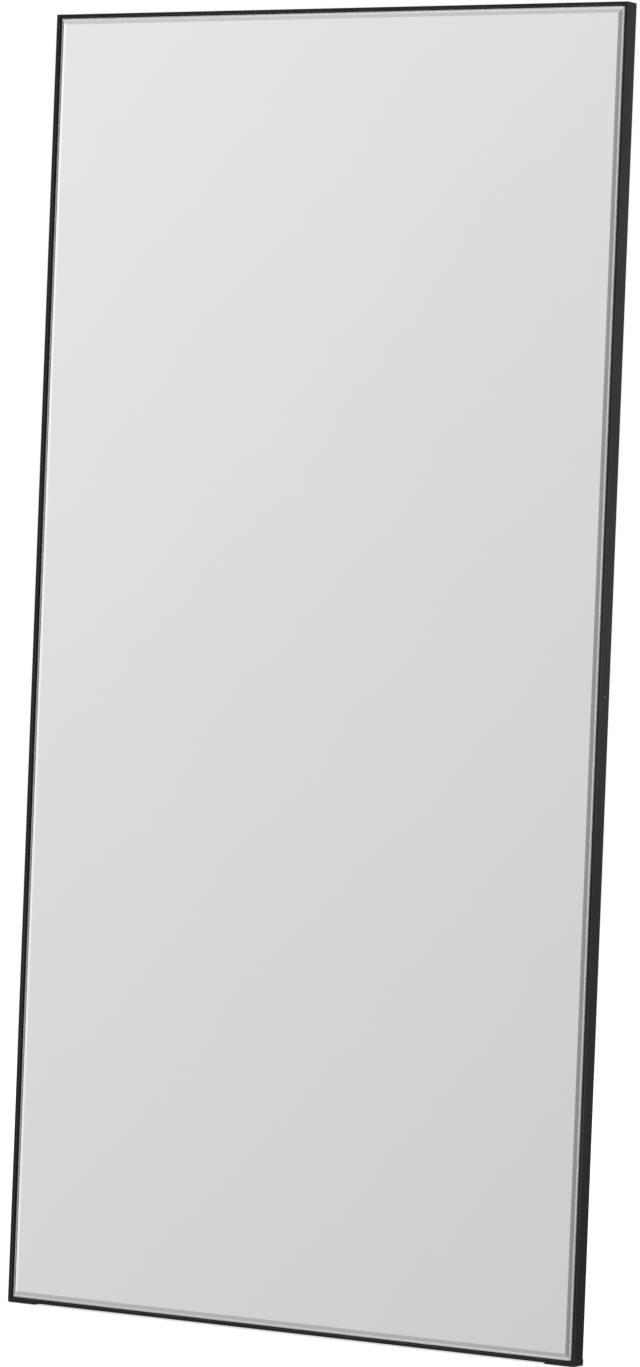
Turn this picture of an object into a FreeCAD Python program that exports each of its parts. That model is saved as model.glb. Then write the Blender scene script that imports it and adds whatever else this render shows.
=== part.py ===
"""Full-length leaning mirror: thin black metal frame, bevelled pane, backing board and wall hangers.

Frame of the part: X across the mirror, Y from the front to the wall, Z up.
The origin lies on the floor, under the middle of the mirror.
"""
import FreeCAD, Part
import math
import os
import Sketcher

SIZES = [
    ("mirror_width", 914, "outside width of the frame"),
    ("mirror_height", 1829, "outside height of the frame"),
    ("frame_depth", 26, "depth of the frame from front edge to back edge"),
    ("rail_wall", 4.5, "wall of the rail, seen as its narrow front edge"),
    ("rail_rounding", 0.8, "rounding of the rail's long edges"),
    ("ledge_width", 25, "inward reach of the ledge that carries the board"),
    ("ledge_thickness", 2, "thickness of the ledge"),
    ("glass_recess", 2, "glass face behind the front edge of the frame"),
    ("glass_thickness", 5, "thickness of the pane"),
    ("glass_clearance", 1, "gap between the pane and the rail walls"),
    ("bevel_width", 9, "width of the bevel round the pane"),
    ("bevel_drop", 2.5, "thickness that the bevel takes off at the rim"),
    ("glass_arris", 1.4, "ground arris along the rim of the pane"),
    ("tape_thickness", 1, "thickness of the mounting tape"),
    ("tape_width", 19, "width of one strip of mounting tape"),
    ("tape_inset", 45, "strips start this far inside the rim of the pane"),
    ("tape_count", 5, "number of strips of mounting tape"),
    ("board_thickness", 9, "thickness of the backing board"),
    ("board_clearance", 0.5, "gap between the board and the rail walls"),
    ("key_leg", 70, "length of a corner key's leg from the wall"),
    ("key_width", 16, "width of a corner key's leg"),
    ("key_thickness", 2.5, "thickness of a corner key"),
    ("key_clearance", 0.3, "gap between a corner key and the rail walls"),
    ("key_rounding", 4, "rounding of a corner key's ends"),
    ("key_screw_end", 9, "outer screw of a leg, from the leg's end"),
    ("key_screw_pitch", 28, "distance between the two screws of a leg"),
    ("screw_shank", 3.5, "shank diameter of the pan head screws"),
    ("screw_head", 7, "head diameter of the pan head screws"),
    ("screw_head_height", 2.2, "head height of the pan head screws"),
    ("screw_bite", 6.5, "depth that the screws go into the board"),
    ("screw_clearance", 0.1, "gap round the screws in their holes"),
    ("stile_screw_count", 4, "board screws along each stile"),
    ("stile_screw_end", 200, "first and last of them from the stile's ends"),
    ("rail_screw_count", 2, "board screws along the top and the bottom rail"),
    ("rail_screw_end", 300, "first and last of them from the rail's ends"),
    ("side_shank", 3, "shank diameter of the countersunk side screws"),
    ("side_head", 6.5, "head diameter of the countersunk side screws"),
    ("side_length", 18, "length of the countersunk side screws"),
    ("side_screw_drop", 16, "side screws below the middle of the frame's height"),
    ("hanger_drop", 320, "ring pivot below the top of the frame"),
    ("plate_width", 16, "width of a hanger plate"),
    ("plate_length", 54, "hanger plate from the ring pivot to its lower end"),
    ("plate_rounding", 7, "rounding of a hanger plate's lower corners"),
    ("plate_thickness", 1.5, "thickness of a hanger plate and its knuckle"),
    ("knuckle_width", 9, "width of the knuckle that holds the ring"),
    ("knuckle_clearance", 0.2, "gap between the knuckle and the ledge"),
    ("upper_hanger_screw", 28, "upper hanger screw below the ring pivot"),
    ("lower_hanger_screw", 44, "lower hanger screw below the ring pivot"),
    ("ring_wire", 3, "wire diameter of a hanger ring"),
    ("ring_half_width", 9, "middle of the ring's legs from the ring's centre line"),
    ("ring_leg", 11, "straight part of the ring down from its pivot"),
    ("ring_corner", 3.5, "bend radius beside the ring's pivot bar"),
    ("ring_running_gap", 0.1, "radial running gap of the ring in its knuckle"),
    ("bumper_diameter", 15, "base diameter of a wall bumper"),
    ("bumper_taper", 1.5, "wall bumper's radius lost from base to tip"),
    ("bumper_rounding", 1.2, "rounding of a wall bumper's tip"),
    ("bumper_proud", 2, "wall bumper behind the back edge of the frame"),
    ("bumper_floor", 3, "rubber under the screw head of a bumper"),
    ("bumper_bore_gap", 0.6, "gap round the screw head in a bumper"),
    ("bumper_inset", 110, "bumper's middle from the end of the stile"),
    ("foot_length", 45, "length of a foot pad along the bottom rail"),
    ("foot_thickness", 2, "thickness of a foot pad"),
    ("foot_lip", 7, "height of the lip of a foot pad behind the rail"),
    ("foot_setback", 1, "foot pad behind the front edge of the frame"),
    ("foot_inset", 0.5, "foot pad inside the side of the frame"),
    ("foot_rounding", 0.8, "rounding of a foot pad's lower back edge"),
]

CUT_MARGIN = 1
FULL_TURN = 360

doc = FreeCAD.newDocument("FullLengthMirror")
sheet = doc.addObject("Spreadsheet::Sheet", "Sizes")
for row, (alias, value, meaning) in enumerate(SIZES, start=1):
    sheet.set(f"A{row}", alias)
    sheet.set(f"B{row}", str(value))
    sheet.set(f"C{row}", meaning)
    sheet.setAlias(f"B{row}", alias)
doc.recompute()

# Shared places, as expressions on the sheet's cells
FRAME_FRONT = "(-(Sizes.frame_depth + Sizes.bumper_proud) / 2)"
FRAME_BACK = f"({FRAME_FRONT} + Sizes.frame_depth)"
GLASS_FRONT = f"({FRAME_FRONT} + Sizes.glass_recess)"
GLASS_BACK = f"({GLASS_FRONT} + Sizes.glass_thickness)"
BOARD_FRONT = f"({GLASS_BACK} + Sizes.tape_thickness)"
LEDGE_FRONT = f"({BOARD_FRONT} + Sizes.board_thickness)"
LEDGE_BACK = f"({LEDGE_FRONT} + Sizes.ledge_thickness)"
LEDGE_DEPTH = f"({LEDGE_FRONT} - {FRAME_FRONT})"
BOARD_MIDDLE = f"({BOARD_FRONT} + Sizes.board_thickness / 2)"
BOTTOM = "Sizes.foot_thickness"
TOP = f"({BOTTOM} + Sizes.mirror_height)"
MIDDLE = f"({BOTTOM} + Sizes.mirror_height / 2)"
SIDE_SCREW_HEIGHT = f"({MIDDLE} - Sizes.side_screw_drop)"
HALF_WIDTH = "(Sizes.mirror_width / 2)"
RAIL_WIDTH = "(Sizes.rail_wall + Sizes.ledge_width)"
LEDGE_LINE = "(Sizes.rail_wall + Sizes.ledge_width / 2)"
GLASS_EDGE = "(Sizes.rail_wall + Sizes.glass_clearance)"
GLASS_WIDTH = f"(Sizes.mirror_width - 2 * {GLASS_EDGE})"
GLASS_HEIGHT = f"(Sizes.mirror_height - 2 * {GLASS_EDGE})"
BOARD_EDGE = "(Sizes.rail_wall + Sizes.board_clearance)"
BOARD_WIDTH = f"(Sizes.mirror_width - 2 * {BOARD_EDGE})"
BOARD_HEIGHT = f"(Sizes.mirror_height - 2 * {BOARD_EDGE})"
KEY_EDGE = "(Sizes.rail_wall + Sizes.key_clearance)"
KEY_LINE = f"({KEY_EDGE} + Sizes.key_width / 2)"
KEY_END = f"({KEY_EDGE} + Sizes.key_leg)"
KNUCKLE_BORE = "(Sizes.ring_wire / 2 + Sizes.ring_running_gap)"
KNUCKLE_RADIUS = f"({KNUCKLE_BORE} + Sizes.plate_thickness)"
PIVOT_STANDOFF = f"({KNUCKLE_RADIUS} + Sizes.knuckle_clearance)"
PIVOT_DEPTH = f"({LEDGE_BACK} + {PIVOT_STANDOFF})"
PIVOT_HEIGHT = f"({TOP} - Sizes.hanger_drop)"
HANGER_LINE = f"({HALF_WIDTH} - {LEDGE_LINE})"
BUMPER_HEIGHT = f"({FRAME_BACK} + Sizes.bumper_proud - {LEDGE_BACK})"


def number(expression):
    """The present value of an expression on the sheet."""
    return float(sheet.evalExpression(expression))


def count(alias):
    """The present value of a counting cell."""
    return int(sheet.get(alias))


def place(item, x="0", y="0", z="0", axis=(0, 1, 0), turn=0):
    """Turn an object about an axis and bind its place to the sheet."""
    item.Placement = FreeCAD.Placement(FreeCAD.Vector(), FreeCAD.Rotation(FreeCAD.Vector(*axis), turn))
    for letter, expression in zip("xyz", (x, y, z)):
        item.setExpression(f"Placement.Base.{letter}", expression)


def new_sketch(body, name, role):
    """A sketch on one of the body's own origin planes."""
    sketch = body.newObject("Sketcher::SketchObject", name)
    plane = next(item for item in body.Origin.OriginFeatures if item.Role == role)
    sketch.AttachmentSupport = (plane, "")
    sketch.MapMode = "FlatFace"
    return sketch


def pin_point(sketch, geometry, point, x, y):
    """Hold one point of a sketch at a place given by two expressions."""
    for kind, axis, expression in (("DistanceX", -2, x), ("DistanceY", -1, y)):
        if expression == "0":
            sketch.addConstraint(Sketcher.Constraint("PointOnObject", geometry, point, axis))
            continue
        start = number(expression)
        index = sketch.addConstraint(Sketcher.Constraint(kind, -1, 1, geometry, point, start))
        sketch.setExpression(f"Constraints[{index}]", expression)


def draw_outline(sketch, corners):
    """A closed outline of straight lines through corners given as expressions."""
    spots = [FreeCAD.Vector(number(x), number(y), 0) for x, y in corners]
    lines = []
    for here, there in zip(spots, spots[1:] + spots[:1]):
        lines.append(sketch.addGeometry(Part.LineSegment(here, there)))
    for line, follower in zip(lines, lines[1:] + lines[:1]):
        sketch.addConstraint(Sketcher.Constraint("Coincident", line, 2, follower, 1))
    for line, (x, y) in zip(lines, corners):
        pin_point(sketch, line, 1, x, y)


def draw_circle(sketch, x, y, radius):
    """A circle whose middle and radius are expressions."""
    middle = FreeCAD.Vector(number(x), number(y), 0)
    circle = sketch.addGeometry(Part.Circle(middle, FreeCAD.Vector(0, 0, 1), number(radius)))
    index = sketch.addConstraint(Sketcher.Constraint("Radius", circle, number(radius)))
    sketch.setExpression(f"Constraints[{index}]", radius)
    pin_point(sketch, circle, 3, x, y)


def pad(body, sketch, name, length, reverse=False, both_ways=False):
    """Give a sketch a thickness bound to the sheet."""
    feature = body.newObject("PartDesign::Pad", name)
    feature.Profile = sketch
    feature.setExpression("Length", length)
    feature.Reversed = reverse
    if both_ways:
        feature.SideType = "Symmetric"
    body.Tip = feature
    doc.recompute()
    return feature


def revolve(body, sketch, name):
    """Turn a sketch right round its own vertical axis."""
    feature = body.newObject("PartDesign::Revolution", name)
    feature.Profile = sketch
    feature.ReferenceAxis = (sketch, ["V_Axis"])
    feature.Angle = FULL_TURN
    body.Tip = feature
    doc.recompute()
    return feature


def cut_through(body, sketch, name):
    """Cut a sketch right through the body, both ways."""
    before = body.Shape.Volume
    feature = body.newObject("PartDesign::Pocket", name)
    feature.Profile = sketch
    feature.Type = "ThroughAll"
    feature.SideType = "Symmetric"
    body.Tip = feature
    doc.recompute()
    if body.Shape.Volume >= before:
        raise RuntimeError(f"{name} cuts nothing")
    return feature


def soften(body, base, name, kind, edges, size):
    """Round or chamfer the named edges of a feature by a size from the sheet."""
    feature = body.newObject(f"PartDesign::{kind}", name)
    feature.Base = (base, edges)
    feature.setExpression("Radius" if kind == "Fillet" else "Size", size)
    body.Tip = feature
    doc.recompute()
    return feature


def edges_where(shape, test):
    """Names of a shape's edges whose middle and direction pass a test."""
    names = []
    for index, edge in enumerate(shape.Edges, start=1):
        if test(edge.CenterOfMass, edge.tangentAt(edge.FirstParameter)):
            names.append(f"Edge{index}")
    return names


def near(left, right):
    """Two coordinates agree."""
    return abs(left - right) < 1e-4


def spread(name, template, places):
    """Copies of one template at several places, as one group of separate solids."""
    copies = []
    for index, (x, y, z, axis, turn) in enumerate(places, start=1):
        copy = doc.addObject("App::Link", f"{name}_{index}")
        copy.LinkedObject = template
        place(copy, x, y, z, axis, turn)
        copies.append(copy)
    group = doc.addObject("Part::Compound", name)
    group.Links = copies
    return group


def cut_away(name, base, tools):
    """A piece with its screw holes taken out."""
    tool = doc.addObject("Part::Compound", f"{name}_drills")
    tool.Links = tools
    result = doc.addObject("Part::Cut", name)
    result.Base = base
    result.Tool = tool
    return result


def make_rail(name, length):
    """One side of the frame: a wall with an inner ledge, mitred at both ends."""
    body = doc.addObject("PartDesign::Body", f"{name}_bar")
    profile = new_sketch(body, f"{name}_section", "XY_Plane")
    ledge_back = f"({LEDGE_DEPTH} + Sizes.ledge_thickness)"
    draw_outline(profile, [
        ("0", "0"),
        ("Sizes.rail_wall", "0"),
        ("Sizes.rail_wall", LEDGE_DEPTH),
        (RAIL_WIDTH, LEDGE_DEPTH),
        (RAIL_WIDTH, ledge_back),
        ("Sizes.rail_wall", ledge_back),
        ("Sizes.rail_wall", "Sizes.frame_depth"),
        ("0", "Sizes.frame_depth"),
    ])
    bar = pad(body, profile, f"{name}_length", length)
    wall = number("Sizes.rail_wall")
    depth = number("Sizes.frame_depth")

    def long_outer_edge(middle, direction):
        on_wall = near(middle.x, 0) or near(middle.x, wall)
        return near(abs(direction.z), 1) and on_wall and (near(middle.y, 0) or near(middle.y, depth))

    soften(body, bar, f"{name}_rounding", "Fillet", edges_where(bar.Shape, long_outer_edge),
           "Sizes.rail_rounding")
    mitre = new_sketch(body, f"{name}_mitre", "XZ_Plane")
    beyond = f"({RAIL_WIDTH} + {CUT_MARGIN})"
    draw_outline(mitre, [("0", "0"), (beyond, "0"), (beyond, beyond)])
    draw_outline(mitre, [("0", length), (beyond, length), (beyond, f"({length} - {beyond})")])
    cut_through(body, mitre, f"{name}_mitres")
    return body


def make_glass():
    """The pane, bevelled on its four front edges, with a ground arris round the rim."""
    body = doc.addObject("PartDesign::Body", "mirror_glass")
    outline = new_sketch(body, "glass_outline", "XZ_Plane")
    draw_outline(outline, [("0", "0"), (GLASS_WIDTH, "0"), (GLASS_WIDTH, GLASS_HEIGHT), ("0", GLASS_HEIGHT)])
    pane = pad(body, outline, "glass_pane", "Sizes.glass_thickness", reverse=True)
    front = next(i for i, face in enumerate(pane.Shape.Faces, start=1) if near(face.CenterOfMass.y, 0))
    bevel = body.newObject("PartDesign::Chamfer", "glass_bevel")
    bevel.Base = (pane, [f"Face{front}"])
    bevel.ChamferType = "Two distances"
    bevel.setExpression("Size", "Sizes.bevel_drop")
    bevel.setExpression("Size2", "Sizes.bevel_width")
    body.Tip = bevel
    doc.recompute()
    drop = number("Sizes.bevel_drop")

    def rim_edge(middle, direction):
        return near(middle.y, drop) and near(direction.y, 0)

    soften(body, bevel, "glass_arris", "Chamfer", edges_where(bevel.Shape, rim_edge), "Sizes.glass_arris")
    place(body, f"(-{HALF_WIDTH} + {GLASS_EDGE})", GLASS_FRONT, f"({BOTTOM} + {GLASS_EDGE})")
    return body


def make_tape():
    """Upright strips of mounting tape between the pane and the board."""
    strips = []
    gaps = count("tape_count") - 1
    for index in range(count("tape_count")):
        strip = doc.addObject("Part::Box", f"tape_strip_{index + 1}")
        strip.setExpression("Length", "Sizes.tape_width")
        strip.setExpression("Width", "Sizes.tape_thickness")
        strip.setExpression("Height", f"{GLASS_HEIGHT} - 2 * Sizes.tape_inset")
        step = f"({GLASS_WIDTH} - 2 * Sizes.tape_inset - Sizes.tape_width) / (Sizes.tape_count - 1)"
        shift = f"{index} * {step}" if gaps else "0"
        start = f"-{HALF_WIDTH} + {GLASS_EDGE} + Sizes.tape_inset"
        place(strip, f"{start} + {shift}", GLASS_BACK, f"{BOTTOM} + {GLASS_EDGE} + Sizes.tape_inset")
        strips.append(strip)
    group = doc.addObject("Part::Compound", "mounting_tape")
    group.Links = strips
    return group


def make_board():
    """The backing board before its screw holes."""
    body = doc.addObject("PartDesign::Body", "board_panel")
    outline = new_sketch(body, "board_outline", "XZ_Plane")
    draw_outline(outline, [("0", "0"), (BOARD_WIDTH, "0"), (BOARD_WIDTH, BOARD_HEIGHT), ("0", BOARD_HEIGHT)])
    pad(body, outline, "board_sheet", "Sizes.board_thickness", reverse=True)
    place(body, f"(-{HALF_WIDTH} + {BOARD_EDGE})", BOARD_FRONT, f"({BOTTOM} + {BOARD_EDGE})")
    return body


def make_corner_key(name):
    """A flat L plate that ties two rails together behind their ledges."""
    body = doc.addObject("PartDesign::Body", f"{name}_plate")
    outline = new_sketch(body, f"{name}_outline", "XZ_Plane")
    inner = f"({KEY_EDGE} + Sizes.key_width)"
    draw_outline(outline, [
        (KEY_EDGE, KEY_EDGE),
        (KEY_END, KEY_EDGE),
        (KEY_END, inner),
        (inner, inner),
        (inner, KEY_END),
        (KEY_EDGE, KEY_END),
    ])
    plate = pad(body, outline, f"{name}_sheet", "Sizes.key_thickness", reverse=True)
    end = number(KEY_END)
    edge = number(KEY_EDGE)
    fold = number(inner)

    def free_end_edge(middle, direction):
        spot = (round(middle.x, 4), round(middle.z, 4))
        ends = [(end, edge), (end, fold), (edge, end), (fold, end)]
        return near(abs(direction.y), 1) and any(near(spot[0], x) and near(spot[1], z) for x, z in ends)

    soften(body, plate, f"{name}_ends", "Fillet", edges_where(plate.Shape, free_end_edge),
           "Sizes.key_rounding")
    return body


def make_pan_screw(name, reach):
    """A pan head screw: seat at the origin, head towards the wall, shank towards the front."""
    body = doc.addObject("PartDesign::Body", f"{name}_screw")
    half = new_sketch(body, f"{name}_screw_half", "XY_Plane")
    shank = "(Sizes.screw_shank / 2)"
    head = "(Sizes.screw_head / 2)"
    draw_outline(half, [
        ("0", f"(-{reach})"),
        (shank, f"(-{reach} + {shank})"),
        (shank, "0"),
        (head, "0"),
        (head, "(Sizes.screw_head_height / 2)"),
        ("(Sizes.screw_head / 4)", "Sizes.screw_head_height"),
        ("0", "Sizes.screw_head_height"),
    ])
    revolve(body, half, f"{name}_screw_turning")
    drill = doc.addObject("Part::Cylinder", f"{name}_drill")
    drill.setExpression("Radius", f"{shank} + Sizes.screw_clearance")
    drill.setExpression("Height", f"{reach} + Sizes.screw_clearance")
    return body, drill


def make_side_screw(name, gap):
    """A countersunk screw with its head flush at the origin, or its hole where a gap is given."""
    body = doc.addObject("PartDesign::Body", name)
    half = new_sketch(body, f"{name}_half", "XY_Plane")
    shank = f"(Sizes.side_shank / 2 + {gap})"
    head = f"(Sizes.side_head / 2 + {gap})"
    tip = f"(-Sizes.side_length - {gap})"
    draw_outline(half, [
        ("0", tip),
        (shank, f"({tip} + {shank})"),
        (shank, f"({shank} - {head})"),
        (head, "0"),
        ("0", "0"),
    ])
    revolve(body, half, f"{name}_turning")
    return body


def make_hanger_plate(name):
    """A hanger strap with a round lower end and a knuckle for the ring at its upper end."""
    body = doc.addObject("PartDesign::Body", f"{name}_strap")
    tongue = new_sketch(body, f"{name}_tongue", "XZ_Plane")
    half = "(Sizes.plate_width / 2)"
    neck = "(Sizes.knuckle_width / 2)"
    shoulder = f"(-{KNUCKLE_RADIUS} - ({half} - {neck}))"
    draw_outline(tongue, [
        (f"(-{half})", "(-Sizes.plate_length)"),
        (half, "(-Sizes.plate_length)"),
        (half, shoulder),
        (neck, f"(-{KNUCKLE_RADIUS})"),
        (neck, "0"),
        (f"(-{neck})", "0"),
        (f"(-{neck})", f"(-{KNUCKLE_RADIUS})"),
        (f"(-{half})", shoulder),
    ])
    strap = pad(body, tongue, f"{name}_sheet", "Sizes.plate_thickness", reverse=True)
    low = -number("Sizes.plate_length")

    def lower_corner(middle, direction):
        return near(abs(direction.y), 1) and near(middle.z, low)

    soften(body, strap, f"{name}_end", "Fillet", edges_where(strap.Shape, lower_corner),
           "Sizes.plate_rounding")
    curl = new_sketch(body, f"{name}_curl", "YZ_Plane")
    draw_circle(curl, PIVOT_STANDOFF, "0", KNUCKLE_RADIUS)
    draw_circle(curl, PIVOT_STANDOFF, "0", KNUCKLE_BORE)
    pad(body, curl, f"{name}_knuckle", "Sizes.knuckle_width", both_ways=True)
    return body


def make_hanger_ring(name):
    """A D ring of round wire, hanging from its straight bar."""
    body = doc.addObject("PartDesign::Body", name)
    wide = number("Sizes.ring_half_width")
    leg = number("Sizes.ring_leg")
    bend = number("Sizes.ring_corner")
    route = new_sketch(body, f"{name}_route", "XZ_Plane")
    across = FreeCAD.Vector(0, 0, 1)
    quarter = math.pi / 2
    right_bend = Part.Circle(FreeCAD.Vector(wide - bend, -bend, 0), across, bend)
    left_bend = Part.Circle(FreeCAD.Vector(bend - wide, -bend, 0), across, bend)
    bow = Part.Circle(FreeCAD.Vector(0, -leg, 0), across, wide)
    pieces = [
        Part.LineSegment(FreeCAD.Vector(0, 0, 0), FreeCAD.Vector(wide - bend, 0, 0)),
        Part.ArcOfCircle(right_bend, 0, quarter),
        Part.LineSegment(FreeCAD.Vector(wide, -bend, 0), FreeCAD.Vector(wide, -leg, 0)),
        Part.ArcOfCircle(bow, 2 * quarter, 4 * quarter),
        Part.LineSegment(FreeCAD.Vector(-wide, -leg, 0), FreeCAD.Vector(-wide, -bend, 0)),
        Part.ArcOfCircle(left_bend, quarter, 2 * quarter),
        Part.LineSegment(FreeCAD.Vector(bend - wide, 0, 0), FreeCAD.Vector(0, 0, 0)),
    ]
    bar, right_arc, right_leg, bow_arc, left_leg, left_arc, far_bar = [route.addGeometry(p) for p in pieces]
    for first, first_end, second, second_end in (
        (bar, 2, right_arc, 2),
        (right_arc, 1, right_leg, 1),
        (right_leg, 2, bow_arc, 2),
        (bow_arc, 1, left_leg, 1),
        (left_leg, 2, left_arc, 2),
        (left_arc, 1, far_bar, 1),
    ):
        route.addConstraint(Sketcher.Constraint("Tangent", first, first_end, second, second_end))
    route.addConstraint(Sketcher.Constraint("Coincident", far_bar, 2, bar, 1))
    route.addConstraint(Sketcher.Constraint("Horizontal", bar))
    route.addConstraint(Sketcher.Constraint("Horizontal", far_bar))
    route.addConstraint(Sketcher.Constraint("Coincident", bar, 1, -1, 1))
    for arc in (right_arc, left_arc):
        index = route.addConstraint(Sketcher.Constraint("Radius", arc, bend))
        route.setExpression(f"Constraints[{index}]", "Sizes.ring_corner")
    index = route.addConstraint(Sketcher.Constraint("Radius", bow_arc, wide))
    route.setExpression(f"Constraints[{index}]", "Sizes.ring_half_width")
    pin_point(route, bow_arc, 3, "0", "(-Sizes.ring_leg)")
    wire = new_sketch(body, f"{name}_wire", "YZ_Plane")
    draw_circle(wire, "0", "0", "(Sizes.ring_wire / 2)")
    doc.recompute()
    bent = body.newObject("PartDesign::AdditivePipe", f"{name}_bent")
    bent.Profile = wire
    bent.Spine = (route, [])
    body.Tip = bent
    doc.recompute()
    return body


def make_bumper(name):
    """A tapered rubber bumper with a counterbore for its screw."""
    body = doc.addObject("PartDesign::Body", name)
    half = new_sketch(body, f"{name}_half", "XY_Plane")
    bore = "(Sizes.screw_shank / 2 + Sizes.screw_clearance)"
    well = "(Sizes.screw_head / 2 + Sizes.bumper_bore_gap)"
    draw_outline(half, [
        (bore, "0"),
        ("(Sizes.bumper_diameter / 2)", "0"),
        ("(Sizes.bumper_diameter / 2 - Sizes.bumper_taper)", BUMPER_HEIGHT),
        (well, BUMPER_HEIGHT),
        (well, "Sizes.bumper_floor"),
        (bore, "Sizes.bumper_floor"),
    ])
    turned = revolve(body, half, f"{name}_turning")
    tip = number(BUMPER_HEIGHT)
    rim = number("Sizes.bumper_diameter / 2 - Sizes.bumper_taper")

    def outer_tip_edge(edge):
        round_edge = isinstance(edge.Curve, Part.Circle)
        return round_edge and near(edge.Curve.Radius, rim) and near(edge.Curve.Center.y, tip)

    edges = [
        f"Edge{index}" for index, edge in enumerate(turned.Shape.Edges, start=1) if outer_tip_edge(edge)
    ]
    soften(body, turned, f"{name}_tip", "Fillet", edges, "Sizes.bumper_rounding")
    return body


def make_foot_pad(name):
    """An anti-slip pad under the bottom rail, with a lip up behind it."""
    body = doc.addObject("PartDesign::Body", name)
    profile = new_sketch(body, f"{name}_section", "YZ_Plane")
    back = f"({FRAME_BACK} + Sizes.bumper_proud)"
    draw_outline(profile, [
        (f"({FRAME_FRONT} + Sizes.foot_setback)", "0"),
        (back, "0"),
        (back, f"({BOTTOM} + Sizes.foot_lip)"),
        (FRAME_BACK, f"({BOTTOM} + Sizes.foot_lip)"),
        (FRAME_BACK, BOTTOM),
        (f"({FRAME_FRONT} + Sizes.foot_setback)", BOTTOM),
    ])
    strip = pad(body, profile, f"{name}_length", "Sizes.foot_length")
    rear = number(back)

    def heel_edge(middle, direction):
        return near(abs(direction.x), 1) and near(middle.y, rear) and near(middle.z, 0)

    soften(body, strip, f"{name}_heel", "Fillet", edges_where(strip.Shape, heel_edge), "Sizes.foot_rounding")
    return body


UPRIGHT = (0, 1, 0)
LENGTHWISE = (1, 0, 0)
SIDEWAYS = (0, 0, 1)
DRILL_TURN = 90

# The four corners: name, X and Z of the frame's outer corner, turn of what is placed there
CORNERS = [
    ("bottom_left", f"(-{HALF_WIDTH})", BOTTOM, 0),
    ("top_left", f"(-{HALF_WIDTH})", TOP, 90),
    ("top_right", HALF_WIDTH, TOP, 180),
    ("bottom_right", HALF_WIDTH, BOTTOM, -90),
]


def corner_spot(corner, along, inward):
    """Global X and Z of a spot given along a corner's stile and inward from it."""
    name, x, z, turn = corner
    side = "+" if "left" in name else "-"
    rise = "+" if "bottom" in name else "-"
    return f"({x} {side} {inward})", f"({z} {rise} {along})"


def even_spots(low, high, total):
    """Evenly spaced places from low to high, as expressions."""
    if total == 1:
        return [f"(({low} + {high}) / 2)"]
    return [f"({low} + ({high} - {low}) * {index} / {total - 1})" for index in range(total)]


def screw_places(spots, seat):
    """Places of pan head screws and of their drills at the given X and Z spots."""
    screws = [(x, seat, z, UPRIGHT, 0) for x, z in spots]
    drills = [(x, seat, z, LENGTHWISE, DRILL_TURN) for x, z in spots]
    return screws, drills


def make_screw_group(name, stack, seat, spots):
    """A group of pan head screws through a stack of sheets, and the drills for their holes."""
    body, drill = make_pan_screw(name, f"({stack} + Sizes.screw_bite)")
    screws, drills = screw_places(spots, seat)
    return spread(f"{name}_screws", body, screws), spread(f"{name}_drills", drill, drills)


# Screws first, because every hole is drilled from the same spots
key_spots = []
for corner in CORNERS:
    for back_off in ("Sizes.key_screw_end", "(Sizes.key_screw_end + Sizes.key_screw_pitch)"):
        along = f"({KEY_END} - {back_off})"
        key_spots.append(corner_spot(corner, along, KEY_LINE))
        key_spots.append(corner_spot(corner, KEY_LINE, along))
key_screws, key_drills = make_screw_group(
    "corner_key", "(Sizes.key_thickness + Sizes.ledge_thickness)",
    f"({LEDGE_BACK} + Sizes.key_thickness)", key_spots)

board_spots = []
stile_low = f"({BOTTOM} + Sizes.stile_screw_end)"
stile_high = f"({TOP} - Sizes.stile_screw_end)"
for height in even_spots(stile_low, stile_high, count("stile_screw_count")):
    board_spots.append((f"(-{HANGER_LINE})", height))
    board_spots.append((HANGER_LINE, height))
rail_left = f"(-{HALF_WIDTH} + Sizes.rail_screw_end)"
rail_right = f"({HALF_WIDTH} - Sizes.rail_screw_end)"
for across in even_spots(rail_left, rail_right, count("rail_screw_count")):
    board_spots.append((across, f"({BOTTOM} + {LEDGE_LINE})"))
    board_spots.append((across, f"({TOP} - {LEDGE_LINE})"))
board_screws, board_drills = make_screw_group("board", "Sizes.ledge_thickness", LEDGE_BACK, board_spots)

hanger_spots = []
for line in (f"(-{HANGER_LINE})", HANGER_LINE):
    for fall in ("Sizes.upper_hanger_screw", "Sizes.lower_hanger_screw"):
        hanger_spots.append((line, f"({PIVOT_HEIGHT} - {fall})"))
hanger_screws, hanger_drills = make_screw_group(
    "hanger", "(Sizes.plate_thickness + Sizes.ledge_thickness)",
    f"({LEDGE_BACK} + Sizes.plate_thickness)", hanger_spots)

bumper_spots = [corner_spot(corner, "Sizes.bumper_inset", LEDGE_LINE) for corner in CORNERS]
bumper_screws, bumper_drills = make_screw_group(
    "bumper", "(Sizes.bumper_floor + Sizes.ledge_thickness)",
    f"({LEDGE_BACK} + Sizes.bumper_floor)", bumper_spots)

side_places = [
    (f"(-{HALF_WIDTH})", BOARD_MIDDLE, SIDE_SCREW_HEIGHT, SIDEWAYS, 90),
    (HALF_WIDTH, BOARD_MIDDLE, SIDE_SCREW_HEIGHT, SIDEWAYS, -90),
]
side_screws = spread("side_screws", make_side_screw("side_screw", "0"), side_places)
side_drills = spread("side_drills", make_side_screw("side_hole", "Sizes.screw_clearance"), side_places)

drills = [key_drills, board_drills, hanger_drills, bumper_drills, side_drills]
nodes = [key_screws, board_screws, hanger_screws, bumper_screws, side_screws]

# Frame: the same section on four sides, each turned to its own corner
for name, length, corner in (
    ("left_stile", "Sizes.mirror_height", CORNERS[0]),
    ("top_rail", "Sizes.mirror_width", CORNERS[1]),
    ("right_stile", "Sizes.mirror_height", CORNERS[2]),
    ("bottom_rail", "Sizes.mirror_width", CORNERS[3]),
):
    bar = make_rail(name, length)
    place(bar, corner[1], FRAME_FRONT, corner[2], UPRIGHT, corner[3])
    nodes.append(cut_away(name, bar, drills))

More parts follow.
